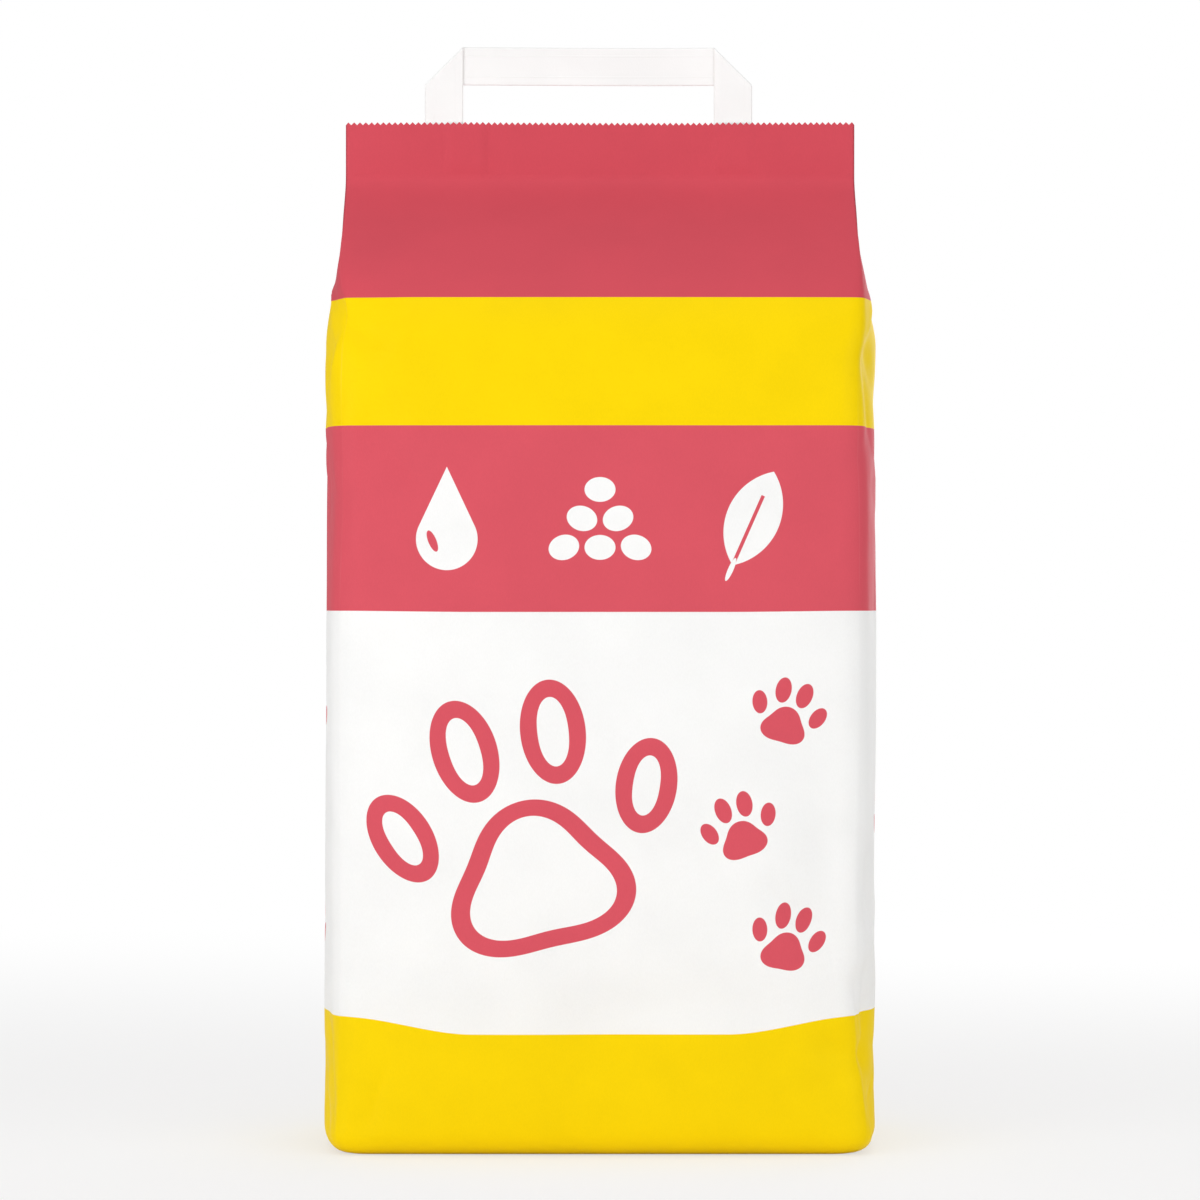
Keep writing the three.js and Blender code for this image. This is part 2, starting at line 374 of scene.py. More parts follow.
def handling_creases(along, height):
    """Creases from handling, by a seeded draw: fans that spread over the gusset from each shoulder and base
    corner, and single lines round the upright creases, most of them near those corners too. Each bends the
    paper by a few tenths on either side of it, and less along the taut middle of a gusset."""
    draw = np.random.default_rng(5)
    relief = np.zeros(np.broadcast(along, height).shape)

    def crease(start, heading, length):
        end = (start[0] + length * math.cos(heading), start[1] + length * math.sin(heading))
        width = draw.uniform(*CREASE_WIDTHS)
        inwards = draw.choice([-1, 1], p=(INWARD_SHARE, 1 - INWARD_SHARE))
        depth = inwards * width * draw.uniform(*CREASE_SLOPES)
        return depth * crease_line(along, height, start, end, width)

    levels = ((0, 45 * MM), (45 * MM, SHOULDER), (SHOULDER - 45 * MM, SHOULDER + 30 * MM))
    corners = [(side, side * HALF_PANEL + face * HALF_ROUND) for side in (-1, 1) for face in (0, 1)]
    for to_gusset, corner in corners:
        for foot, climbs in (SHOULDER_FAN, BASE_FAN):
            for climb in climbs:
                leaning = climb + draw.uniform(-FAN_LEAN, FAN_LEAN)
                heading = leaning if to_gusset > 0 else np.pi - leaning
                relief += crease((corner, foot), heading, draw.uniform(*FAN_LENGTHS))
        for _ in range(CREASES_PER_CORNER):
            beside = to_gusset * draw.uniform(*CREASE_PLACES)
            level = levels[draw.choice(3, p=(0.3, 0.25, 0.45))]
            start = (corner + beside, draw.uniform(*level))
            relief += crease(start, draw.uniform(0, 2 * np.pi), draw.uniform(*CREASE_LENGTHS))
    loose = smoothstep(14 * MM, 42 * MM, from_gusset_middle(along))
    below_roof = 1 - smoothstep(SHOULDER + 25 * MM, SHOULDER + 55 * MM, height)
    return relief * (TAUT_SHARE + (1 - TAUT_SHARE) * loose) * below_roof


def flat_folds(along, height):
    """Folds from when the sack was flat, each fading as exp(-distance): the crisp upright creases, the
    gusset's middle crease, the triangles at its foot, and the level fold of the base."""
    from_middle = from_gusset_middle(along)
    from_crease = np.abs(from_middle - HALF_GUSSET)
    from_triangle = np.abs(height - HALF_GUSSET + from_middle) / math.sqrt(2)
    on_gusset = 1 - smoothstep(HALF_GUSSET - 2 * MM, HALF_GUSSET + 2 * MM, from_middle)
    below_roof = 1 - smoothstep(SHOULDER, SHOULDER + 0.5 * ROOF_HEIGHT, height)
    upright = UPRIGHT_RIDGE * np.exp(-from_crease / UPRIGHT_FADE) * below_roof
    middle = MIDDLE_GROOVE * np.exp(-from_middle / MIDDLE_FADE) * below_roof
    foot = FOOT_GROOVE * np.exp(-from_triangle / FOOT_FADE) * on_gusset * (height < HALF_GUSSET)
    level = LEVEL_GROOVE * np.exp(-np.abs(height - HALF_GUSSET) / LEVEL_FADE) * (1 - on_gusset)
    return upright - middle - foot - level


def closing_folds(along, height):
    """Folds from when the sack was made and shut: the gable lines that climb each gusset from the upright
    creases to its middle, and the step of the glued lap down the back."""
    from_middle = from_gusset_middle(along)
    on_gusset = 1 - smoothstep(HALF_GUSSET - 2 * MM, HALF_GUSSET + 2 * MM, from_middle)
    tucked_in = np.clip((height - SHOULDER) / (TUCK_END * ROOF_HEIGHT), 0, 1)
    from_gable = np.abs(from_middle - HALF_GUSSET * (1 - tucked_in)) * GABLE_COSINE
    in_roof = smoothstep(0, 0.25, tucked_in) * (1 - smoothstep(0.7, 1, tucked_in))
    gable = GABLE_RIDGE * np.exp(-from_gable / GABLE_FADE) * on_gusset * in_roof
    under_lap = wrapped(along - LAP_EDGE)
    slope = smoothstep(-LAP_WIDTH, -LAP_WIDTH / 3, under_lap)
    return gable + LAP_STEP * slope * (1 - smoothstep(-LAP_CUT, LAP_CUT, under_lap))


def stretched(relief):
    """Paper that is stretched over granules gives way inwards, but outwards it levels off as a hyperbolic
    tangent."""
    return np.where(relief > 0, OUTWARD_LIMIT * np.tanh(relief / OUTWARD_LIMIT), relief)


def outward_normals(points):
    """Unit normals of a grid that is closed along its columns: the cross product of its two differences."""
    around = np.roll(points, -1, axis=1) - np.roll(points, 1, axis=1)
    normals = np.cross(around, np.gradient(points, axis=0))
    return normals / np.maximum(np.linalg.norm(normals, axis=2, keepdims=True), 1e-12)


def sack_grid():
    """Points of the sack's skin: the section at each row, moved along its normal by the folds, dents and
    creases, then over the cut edge and down to the glue between the plies."""
    height, inset = sack_rows()
    columns = sack_columns()
    measures = section_measures(height)
    measures["half_depth"] = measures["half_depth"] - inset
    measures["half_width"] = measures["half_width"] - inset
    share, on_panel = columns["share"][None, :], columns["on_panel"][None, :]
    x, y = quarter_point(measures, share, on_panel, height)
    skin = np.stack([x * columns["x"], y * columns["y"], np.broadcast_to(height, x.shape)], axis=2)
    along = columns["along"][None, :]
    soft = smoothstep(0, CALM_FOOT, height) * (1 - smoothstep(*CALM_TOP, height))
    handled = settled_dents(along, height) + handling_creases(along, height)
    relief = stretched(handled) + flat_folds(along, height) + closing_folds(along, height)
    skin = skin + outward_normals(skin) * (relief * soft)[:, :, None]
    toothed = 1 - np.arange(share.size) % 2
    skin[-1, :, 2] -= TOOTH_DEPTH * toothed
    skin[:, :, 1] += sway(skin[:, :, 0], skin[:, :, 2])
    return skin, columns


def sack_mesh():
    """The sack as one closed mesh: the grid, a lip over the cut edge, the glue line and the flat base."""
    skin, columns = sack_grid()
    rows, count = skin.shape[:2]
    _, meeting = np.unique(meeting_columns(), return_inverse=True)
    edge = skin[-1]
    glue = np.stack([np.bincount(meeting, edge[:, axis]) for axis in range(3)], axis=1)
    glue = glue / np.bincount(meeting)[:, None]
    lip = edge + LIP_SHARE * (glue[meeting] - edge)
    lip[:, 2] = edge[:, 2]
    glue[:, 2] = BAG_HEIGHT - GLUE_DEPTH
    points = np.concatenate([skin.reshape(-1, 3), lip, glue])
    index = np.arange((rows + 1) * count).reshape(rows + 1, count)
    index = np.concatenate([index, (rows + 1) * count + meeting[None, :]])
    following = np.roll(index, -1, axis=1)
    corners = np.stack([index[:-1], following[:-1], following[1:], index[1:]], axis=2)
    along = np.append(columns["along"], columns["along"][0] + PERIMETER)
    up = np.concatenate([skin[:, :, 2], lip[None, :, 2] + 3 * MM, lip[None, :, 2] + 6 * MM])
    sag = BASE_FIELD_SAG * np.exp((BASE_FIELD_TOP - up) / SAG_FADE)
    middle = 1 - smoothstep(SAG_FLAT, SAG_END, np.abs(wrapped(2 * columns["along"])) / 2)
    up = up + np.minimum(sag, 2 * BASE_FIELD_SAG) * middle
    up_next = np.roll(up, -1, axis=1)
    u = np.broadcast_to(np.stack([along[:-1], along[1:], along[1:], along[:-1]], axis=1), corners.shape)
    v = np.stack([up[:-1], up_next[:-1], up_next[1:], up[1:]], axis=2)
    base = index[0, ::-1]
    base_uv = np.stack([columns["along"][::-1], np.zeros(count)], axis=1)
    faces = corners.reshape(-1, 4).tolist() + [base.tolist()]
    paper = np.concatenate([np.stack([u, v], axis=3).reshape(-1, 2), base_uv])
    crisp = np.zeros(len(points), bool)
    crisp[index[rows - 1]] = True
    crisp[index[rows]] = True
    return new_piece("printed_sack", points, faces, paper, crisp)


def new_piece(name, points, faces, paper, crisp):
    """A smooth mesh object at the origin, with its paper coordinates as a UV map. Edges between two crisp
    points stay sharp."""
    mesh = bpy.data.meshes.new(name)
    mesh.from_pydata(points.tolist(), [], faces)
    layer = mesh.uv_layers.new(name="paper")
    layer.uv.foreach_set("vector", paper.astype(np.float32).ravel())
    mesh.shade_smooth()
    ends = np.empty(2 * len(mesh.edges), np.int32)
    mesh.edges.foreach_get("vertices", ends)
    sharp = crisp[ends.reshape(-1, 2)].all(axis=1)
    mesh.attributes.new("sharp_edge", "BOOLEAN", "EDGE").data.foreach_set("value", sharp)
    mesh.update()
    piece = bpy.data.objects.new(name, mesh)
    bpy.context.scene.collection.objects.link(piece)
    return piece


def tape_section():
    """The tape's cross section, a flat stadium: distance across the tape, and height above its middle."""
    half, bend = (TAPE_WIDTH - TAPE_THICKNESS) / 2, TAPE_THICKNESS / 2
    flat = np.linspace(-half, half, 22)
    arc = np.linspace(0, np.pi, 7)[1:-1]
    across = np.concatenate([flat, half + bend * np.sin(arc), flat[::-1], -half - bend * np.sin(arc)])
    above = np.concatenate([0 * flat + bend, bend * np.cos(arc), 0 * flat - bend, -bend * np.cos(arc)])
    return across, above


def folded_tape(run, across, above):
    """The left half of the tape, folded behind itself: a point at a distance from the 45 degree fold line
    stays in front of it, goes round a half cylinder, or lies mirrored behind, turned to run level."""
    before = (run - across) / math.sqrt(2)
    beside = (run + across) / math.sqrt(2)
    half_turn = np.pi * FOLD_RADIUS / 2
    angle = np.clip((before + half_turn) / FOLD_RADIUS, 0, np.pi)
    over = np.clip(before, -np.inf, -half_turn) - np.clip(before - half_turn, 0, np.inf)
    outwards = over + (FOLD_RADIUS + above) * np.sin(angle)
    x = LEG_X + (beside - outwards) / math.sqrt(2)
    z = GRIP_Z + (beside + outwards) / math.sqrt(2)
    y = FOLD_RADIUS - (FOLD_RADIUS + above) * np.cos(angle)
    return x, y, z


def tape_rows():
    """Distances along the left half of the tape from its fold, with close rows through the fold itself."""
    leg, grip = GRIP_Z - TAIL_Z, HANDLE_MIDDLE - LEG_X
    fold = 2.2 * MM
    return np.concatenate([
        np.linspace(-leg, -fold, 40, endpoint=False),
        np.linspace(-fold, fold, 28, endpoint=False),
        np.linspace(fold, grip, 45),
    ])


def handle_mesh():
    """The handle: the tape's section carried along its run. Rows slant by 45 degrees near the fold so that
    they lie along it, and the right half mirrors the left."""
    across, above = tape_section()
    run = tape_rows()[:, None]
    slant = 1 - smoothstep(3 * MM, 24 * MM, np.abs(run))
    x, y, z = folded_tape(run + slant * across, across[None, :], above[None, :])
    left = np.stack([x, y, z], axis=2)
    right = left[-2::-1] * [-1, 1, 1] + [2 * HANDLE_MIDDLE, 0, 0]
    tape = np.concatenate([left, right])
    free = smoothstep(BAG_HEIGHT, GRIP_Z, tape[:, :, 2])
    middle = 1 - ((tape[:, :, 0] - HANDLE_MIDDLE) / (handle_high.x - HANDLE_MIDDLE)) ** 2
    bow = free * (HANDLE_BOW[0] + HANDLE_BOW[1] * middle)
    tape[:, :, 1] += sway(tape[:, :, 0], tape[:, :, 2]) + bow
    rows, count = tape.shape[:2]
    index = np.arange(rows * count).reshape(rows, count)
    following = np.roll(index, -1, axis=1)
    corners = np.stack([index[:-1], index[1:], following[1:], following[:-1]], axis=2)
    along = np.concatenate([run[:, 0], 2 * run[-1, 0] - run[-2::-1, 0]])
    u = np.stack([along[:-1], along[1:], along[1:], along[:-1]], axis=1)[:, None, :]
    side = np.append(across, across[0])
    v = np.stack([side[:-1], side[:-1], side[1:], side[1:]], axis=1)[None, :, :]
    paper = np.stack(np.broadcast_arrays(u, v), axis=3).reshape(-1, 2)
    ends = [index[0].tolist(), index[-1, ::-1].tolist()]
    end_uv = np.stack([np.zeros(2 * count), np.tile(across, 2)], axis=1)
    crisp = np.zeros(rows * count, bool)
    crisp[index[[0, -1]]] = True
    faces = corners.reshape(-1, 4).tolist() + ends
    return new_piece("folded_handle", tape.reshape(-1, 3), faces, np.concatenate([paper, end_uv]), crisp)


class Graph:
    """A short way to write a node tree: an input takes a socket, a number, a tuple or nothing."""

    def __init__(self, tree):
        self.tree = tree

    def node(self, kind, inputs=None, **settings):
        made = self.tree.nodes.new(kind)
        for name, value in settings.items():
            setattr(made, name, value)
        for key, value in (inputs or {}).items():
            self.feed(made.inputs[key], value)
        return made

    def feed(self, socket, value):
        if isinstance(value, bpy.types.NodeSocket):
            self.tree.links.new(value, socket)
        else:
            socket.default_value = value

    def math(self, operation, *values):
        return self.node("ShaderNodeMath", dict(enumerate(values)), operation=operation).outputs[0]

    def vector(self, operation, *values):
        made = self.node("ShaderNodeVectorMath", dict(enumerate(values)), operation=operation)
        return made.outputs["Value" if operation in ("LENGTH", "DOT_PRODUCT") else "Vector"]

    def rise(self, value, low, high, from_value=0.0, to_value=1.0):
        inputs = {"Value": value, "From Min": low, "From Max": high}
        inputs.update({"To Min": from_value, "To Max": to_value})
        return self.node("ShaderNodeMapRange", inputs, interpolation_type="SMOOTHSTEP").outputs[0]

    def mix(self, share, low, high):
        return self.node("ShaderNodeMix", {0: share, 6: low, 7: high}, data_type="RGBA").outputs[2]

    def noise(self, where, scale, detail=2.0):
        inputs = {"Vector": where, "Scale": scale, "Detail": detail}
        return self.node("ShaderNodeTexNoise", inputs).outputs["Fac"]

    def use(self, group, **inputs):
        made = self.node("ShaderNodeGroup", node_tree=group)
        for name, value in inputs.items():
            self.feed(made.inputs[name], value)
        return made.outputs


def new_group(name, inputs, outputs):
    """An empty shader node group with named sockets, and its graph, its inputs and its output node."""
    tree = bpy.data.node_groups.new(name, "ShaderNodeTree")
    for direction, sockets in (("INPUT", inputs), ("OUTPUT", outputs)):
        for socket, kind in sockets.items():
            tree.interface.new_socket(name=socket, in_out=direction, socket_type="NodeSocket" + kind)
    graph = Graph(tree)
    given = graph.node("NodeGroupInput").outputs
    return tree, graph, given, graph.node("NodeGroupOutput").inputs


def ink(red, green, blue):
    """An sRGB colour of 0 to 255 as the linear colour that a shader takes."""
    srgb = np.array([red, green, blue]) / 255
    linear = np.where(srgb <= 0.04045, srgb / 12.92, ((srgb + 0.055) / 1.055) ** 2.4)
    return (*linear.tolist(), 1.0)


RED_INK = ink(220, 88, 101)
# The top stripe's red is the same ink painted darker: painted shade where less light reaches the roof and
# closure.
SHADED_TOP_RED = ink(213, 81, 94)
YELLOW_INK = ink(254, 218, 4)
WHITE_PAPER = ink(251, 251, 250)
TAPE_WHITE = ink(252, 252, 251)
TAPE_SHADE = ink(248, 248, 247)
# The grey for the tape's edges is painted shade.
TAPE_EDGE_SHADE = ink(228, 227, 224)


def oval_group():
    """Distance to an oval's edge, negative inside: k(k - 1) / g, where k is the length of the point over
    the radii and g the length of the point over the radii squared."""
    sockets = {"Point": "Vector", "Centre": "Vector", "Radii": "Vector", "Turn": "Float"}
    tree, graph, given, out = new_group("oval", sockets, {"Distance": "Float"})
    off = graph.vector("SUBTRACT", given["Point"], given["Centre"])
    inputs = {"Vector": off, "Angle": given["Turn"]}
    turned = graph.node("ShaderNodeVectorRotate", inputs, rotation_type="Z_AXIS").outputs[0]
    over = graph.vector("DIVIDE", turned, given["Radii"])
    steep = graph.vector("LENGTH", graph.vector("DIVIDE", over, given["Radii"]))
    length = graph.vector("LENGTH", over)
    rise = graph.math("MULTIPLY", length, graph.math("SUBTRACT", length, 1.0))
    graph.feed(out["Distance"], graph.math("DIVIDE", rise, graph.math("MAXIMUM", steep, 1e-4)))
    return tree


OVAL = oval_group()


def placed_point(graph, given):
    """The group's point, seen from its centre, turned and divided by its size."""
    off = graph.vector("SUBTRACT", given["Point"], given["Centre"])
    inputs = {"Vector": off, "Angle": given["Turn"]}
    turned = graph.node("ShaderNodeVectorRotate", inputs, rotation_type="Z_AXIS").outputs[0]
    size = graph.node("ShaderNodeCombineXYZ", {axis: given["Size"] for axis in "XYZ"}).outputs[0]
    return graph.vector("DIVIDE", turned, size)


def oval_at(graph, point, x, y, wide, tall, turn=0.0):
    """Distance to the edge of an oval with its centre at x, y."""
    inputs = {"Point": point, "Centre": (x, y, 0), "Radii": (wide, tall, 1), "Turn": turn}
    return graph.use(OVAL, **inputs)["Distance"]


SYMBOL_SOCKETS = {"Point": "Vector", "Centre": "Vector", "Size": "Float", "Turn": "Float"}


def mirrored(graph, point):
    """A point with its left half turned over to the right, and its two coordinates."""
    parts = graph.node("ShaderNodeSeparateXYZ", {0: point}).outputs
    x, y = graph.math("ABSOLUTE", parts["X"]), parts["Y"]
    return graph.node("ShaderNodeCombineXYZ", {"X": x, "Y": y}).outputs[0], x, y


def paw_group():
    """Distance to a paw print one size wide, the same on both sides: two oval toes, and a pad whose edge is
    at r = r0 (1 + a cos 3t) round its middle, divided by the slope of that edge."""
    tree, graph, given, out = new_group("paw print", SYMBOL_SOCKETS, {"Distance": "Float"})
    point, _, _ = mirrored(graph, placed_point(graph, given))
    inner = oval_at(graph, point, 0.145, 0.29, 0.105, 0.165, 0.1)
    outer = oval_at(graph, point, 0.4, 0.06, 0.098, 0.15, 0.38)
    radius, lobes = 0.25, 0.13
    off = graph.vector("DIVIDE", graph.vector("SUBTRACT", point, (0, -0.16, 0)), (1.14, 0.92, 1))
    parts = graph.node("ShaderNodeSeparateXYZ", {0: off}).outputs
    angle = graph.math("MULTIPLY", graph.math("ARCTAN2", parts["X"], parts["Y"]), 3.0)
    edge = graph.math("MULTIPLY_ADD", graph.math("COSINE", angle), radius * lobes, radius)
    slope = graph.math("MULTIPLY", graph.math("SINE", angle), 3 * lobes)
    steep = graph.math("SQRT", graph.math("MULTIPLY_ADD", slope, slope, 1.0))
    pad = graph.math("DIVIDE", graph.math("SUBTRACT", graph.vector("LENGTH", off), edge), steep)
    shape = graph.math("MINIMUM", pad, graph.math("MINIMUM", inner, outer))
    graph.feed(out["Distance"], graph.math("MULTIPLY", shape, given["Size"]))
    return tree


def drop_group():
    """Distance to a drop one size tall: a circle, and above its tangent points the two lines to the tip."""
    tree, graph, given, out = new_group("drop", SYMBOL_SOCKETS, {"Distance": "Float"})
    radius, tip = 0.3, 0.7
    lean = radius / tip
    upright = math.sqrt(1 - lean**2)
    low = graph.vector("ADD", placed_point(graph, given), (0, 0.2, 0))
    point, x, y = mirrored(graph, low)
    circle = graph.math("SUBTRACT", graph.vector("LENGTH", point), radius)
    line = graph.math("MULTIPLY_ADD", x, upright, graph.math("MULTIPLY_ADD", y, lean, -radius))
    over = graph.math("MULTIPLY_ADD", y, upright, graph.math("MULTIPLY", x, -lean))
    beyond = graph.math("GREATER_THAN", over, 0.0)
    shape = graph.math("MULTIPLY_ADD", beyond, graph.math("SUBTRACT", line, circle), circle)
    shine = oval_at(graph, low, -0.14, -0.02, 0.04, 0.11, -0.4)
    shape = graph.math("MAXIMUM", shape, graph.math("MULTIPLY", shine, -1.0))
    graph.feed(out["Distance"], graph.math("MULTIPLY", shape, given["Size"]))
    return tree


def leaf_group():
    """Distance to a leaf one size tall: the overlap of two circles, parted by its midrib, on a stalk."""
    tree, graph, given, out = new_group("leaf", SYMBOL_SOCKETS, {"Distance": "Float"})
    point, x, y = mirrored(graph, placed_point(graph, given))
    blade = oval_at(graph, point, -0.34, 0, 0.6, 0.6)
    rib = graph.math("MAXIMUM", graph.math("SUBTRACT", x, 0.018), graph.math("SUBTRACT", y, 0.24))
    blade = graph.math("MAXIMUM", blade, graph.math("MULTIPLY", rib, -1.0))
    stalk = oval_at(graph, point, 0, -0.54, 0.026, 0.12)
    shape = graph.math("MINIMUM", blade, stalk)
    graph.feed(out["Distance"], graph.math("MULTIPLY", shape, given["Size"]))
    return tree


def granules_group():
    """Distance to a small heap of granules one size wide: three ovals under two, and one on top."""
    tree, graph, given, out = new_group("granules", SYMBOL_SOCKETS, {"Distance": "Float"})
    point, _, _ = mirrored(graph, placed_point(graph, given))
    shape = oval_at(graph, point, 0, 0.28, 0.15, 0.12)
    for x, y, turn in ((0, -0.28, 0.0), (0.35, -0.28, 0.3), (0.175, 0, -0.3)):
        shape = graph.math("MINIMUM", shape, oval_at(graph, point, x, y, 0.15, 0.12, turn))
    graph.feed(out["Distance"], graph.math("MULTIPLY", shape, given["Size"]))
    return tree


def paw_trail(graph, paw, across, side, up):
    """Distance to a trail of small paws up the right of each panel and the middle of each gusset. The
    height gives the step that a point is in, and every other step is set and turned to the other side."""
    on_gusset = graph.math("GREATER_THAN", graph.math("ABSOLUTE", across), HALF_PANEL)
    on_panel = graph.math("SUBTRACT", 1.0, on_gusset)
    beside = graph.math("MULTIPLY", graph.math("SUBTRACT", across, TRAIL_X), on_panel)
    beside = graph.math("MULTIPLY_ADD", side, on_gusset, beside)
    climbed = graph.math("DIVIDE", graph.math("SUBTRACT", up, TRAIL_FOOT), TRAIL_PITCH)
    step = graph.math("FLOOR", climbed)
    step = graph.math("MINIMUM", graph.math("MAXIMUM", step, 0.0), TRAIL_STEPS - 1.0)
    hand = graph.math("MULTIPLY_ADD", graph.math("MODULO", step, 2.0), -2.0, 1.0)
    x = graph.math("MULTIPLY_ADD", hand, -TRAIL_SWING, beside)
    y = graph.math("MULTIPLY", graph.math("SUBTRACT", climbed, graph.math("ADD", step, 0.5)), TRAIL_PITCH)
    point = graph.node("ShaderNodeCombineXYZ", {"X": x, "Y": y}).outputs[0]
    turn = graph.math("MULTIPLY", hand, TRAIL_TURN)
    return graph.use(paw, Point=point, Centre=(0, 0, 0), Size=TRAIL_PAW, Turn=turn)["Distance"]


def printed_inside(graph, distance):
    """1 inside a printed shape, falling to 0 over the width of an ink edge."""
    return graph.rise(distance, -INK_EDGE, INK_EDGE, 1.0, 0.0)


def printed_above(graph, up, level):
    """1 above a level on the paper, falling to 0 over the width of an ink edge."""
    return graph.rise(up, level - INK_EDGE, level + INK_EDGE)


def picture_mask(graph, face, across, side, up):
    """The picture in the white field: the stroke of a large paw, and the trail of small ones."""
    paw = paw_group()
    centre = (LARGE_PAW_X, LARGE_PAW_Z, 0)
    large = graph.use(paw, Point=face, Centre=centre, Size=LARGE_PAW, Turn=LARGE_PAW_TURN)["Distance"]
    stroke = graph.math("ABSOLUTE", graph.math("ADD", large, PAW_STROKE / 2))
    stroke = graph.math("SUBTRACT", stroke, PAW_STROKE / 2)
    trail = paw_trail(graph, paw, across, side, up)
    return printed_inside(graph, graph.math("MINIMUM", stroke, trail))


def sign_mask(graph, face):
    """The three signs in the red band: a heap of granules between a drop and a leaf."""
    middle = (PICTURE_FIELD_TOP + BAND_TOP) / 2

    def sign(group, x, turn):
        return graph.use(group, Point=face, Centre=(x, middle, 0), Size=SIGN_SIZE, Turn=turn)["Distance"]

    signs = sign(granules_group(), 0, 0)
    signs = graph.math("MINIMUM", signs, sign(drop_group(), -SIGN_PITCH, 0))
    signs = graph.math("MINIMUM", signs, sign(leaf_group(), SIGN_PITCH, LEAF_TURN))
    return printed_inside(graph, signs)


def crease_mask(graph, side, up):
    """1 on the folds that rub against other sacks: the upright creases, less than the rest, the gusset's
    middle crease and the triangles at its foot."""
    from_middle = graph.math("ABSOLUTE", side)
    from_crease = graph.math("ABSOLUTE", graph.math("SUBTRACT", from_middle, HALF_GUSSET))
    from_crease = graph.math("ADD", from_crease, UNRUBBED)
    from_foot_fold = graph.math("ADD", from_middle, graph.math("SUBTRACT", up, HALF_GUSSET))
    from_foot_fold = graph.math("MULTIPLY", graph.math("ABSOLUTE", from_foot_fold), math.sqrt(0.5))
    nearest = graph.math("MINIMUM", graph.math("MINIMUM", from_crease, from_middle), from_foot_fold)
    return graph.rise(nearest, 0.0, RUBBED_WIDTH, 1.0, 0.0)


def print_group():
    """The printed fields and symbols over the sack's paper coordinates, the same on front and back. The top
    stripe takes a darker copy of the red ink: painted shade for the roof and closure.
    """
    outputs = {"Color": "Color", "Ink": "Float", "Crease": "Float", "Filled": "Float"}
    tree, graph, given, out = new_group("sack print", {"Paper": "Vector"}, outputs)
    paper = graph.node("ShaderNodeSeparateXYZ", {0: given["Paper"]}).outputs
    up = paper["Y"]
    quarter = HALF_ROUND / 2
    across = graph.math("WRAP", paper["X"], quarter, -quarter)
    side = graph.math("WRAP", graph.math("SUBTRACT", paper["X"], quarter), quarter, -quarter)
    face = graph.node("ShaderNodeCombineXYZ", {"X": across, "Y": up}).outputs[0]
    over_base = printed_above(graph, up, BASE_FIELD_TOP)
    over_picture = printed_above(graph, up, PICTURE_FIELD_TOP)
    white_field = graph.mix(picture_mask(graph, face, across, side, up), WHITE_PAPER, RED_INK)
    red_band = graph.mix(sign_mask(graph, face), RED_INK, WHITE_PAPER)
    colour = graph.mix(over_base, YELLOW_INK, white_field)
    colour = graph.mix(over_picture, colour, red_band)
    colour = graph.mix(printed_above(graph, up, BAND_TOP), colour, YELLOW_INK)
    # Top stripe in the darker copy of the red: painted shade over the roof and closure.
    colour = graph.mix(printed_above(graph, up, STRIPE_TOP), colour, SHADED_TOP_RED)
    colour = graph.mix(printed_above(graph, up, BAG_HEIGHT + 0.3 * MM), colour, WHITE_PAPER)
    from_lap = graph.math("ABSOLUTE", graph.math("SUBTRACT", paper["X"], LAP_EDGE))
    cut_edge = graph.rise(from_lap, 0.1 * MM, 0.35 * MM, 0.7, 0.0)
    graph.feed(out["Color"], graph.mix(cut_edge, colour, WHITE_PAPER))
    bare = graph.math("SUBTRACT", over_base, over_picture)
    graph.feed(out["Ink"], graph.math("SUBTRACT", 1.0, bare))
    graph.feed(out["Crease"], crease_mask(graph, side, up))
    graph.feed(out["Filled"], graph.rise(up, SHOULDER, SHOULDER + ROOF_HEIGHT / 2, 1.0, 0.0))
    return tree


def grain_group():
    """Paper grain over Object coordinates: long upright fibres and slow cloudiness, both around a half."""
    outputs = {"Fibre": "Float", "Cloud": "Float"}
    tree, graph, given, out = new_group("paper grain", {"Point": "Vector"}, outputs)
    stretched = graph.vector("MULTIPLY", given["Point"], (1.0, 1.0, 0.35))
    graph.feed(out["Fibre"], graph.noise(stretched, 2600.0, 2.0))
    graph.feed(out["Cloud"], graph.noise(given["Point"], 38.0, 2.0))
    return tree


GRAIN = grain_group()


def new_material(name):
    """A new material, its graph and the inputs of its Principled shader."""
    material = bpy.data.materials.new(name)
    material.use_nodes = True
    graph = Graph(material.node_tree)
    shader = material.node_tree.nodes["Principled BSDF"]
    return material, graph, shader.inputs


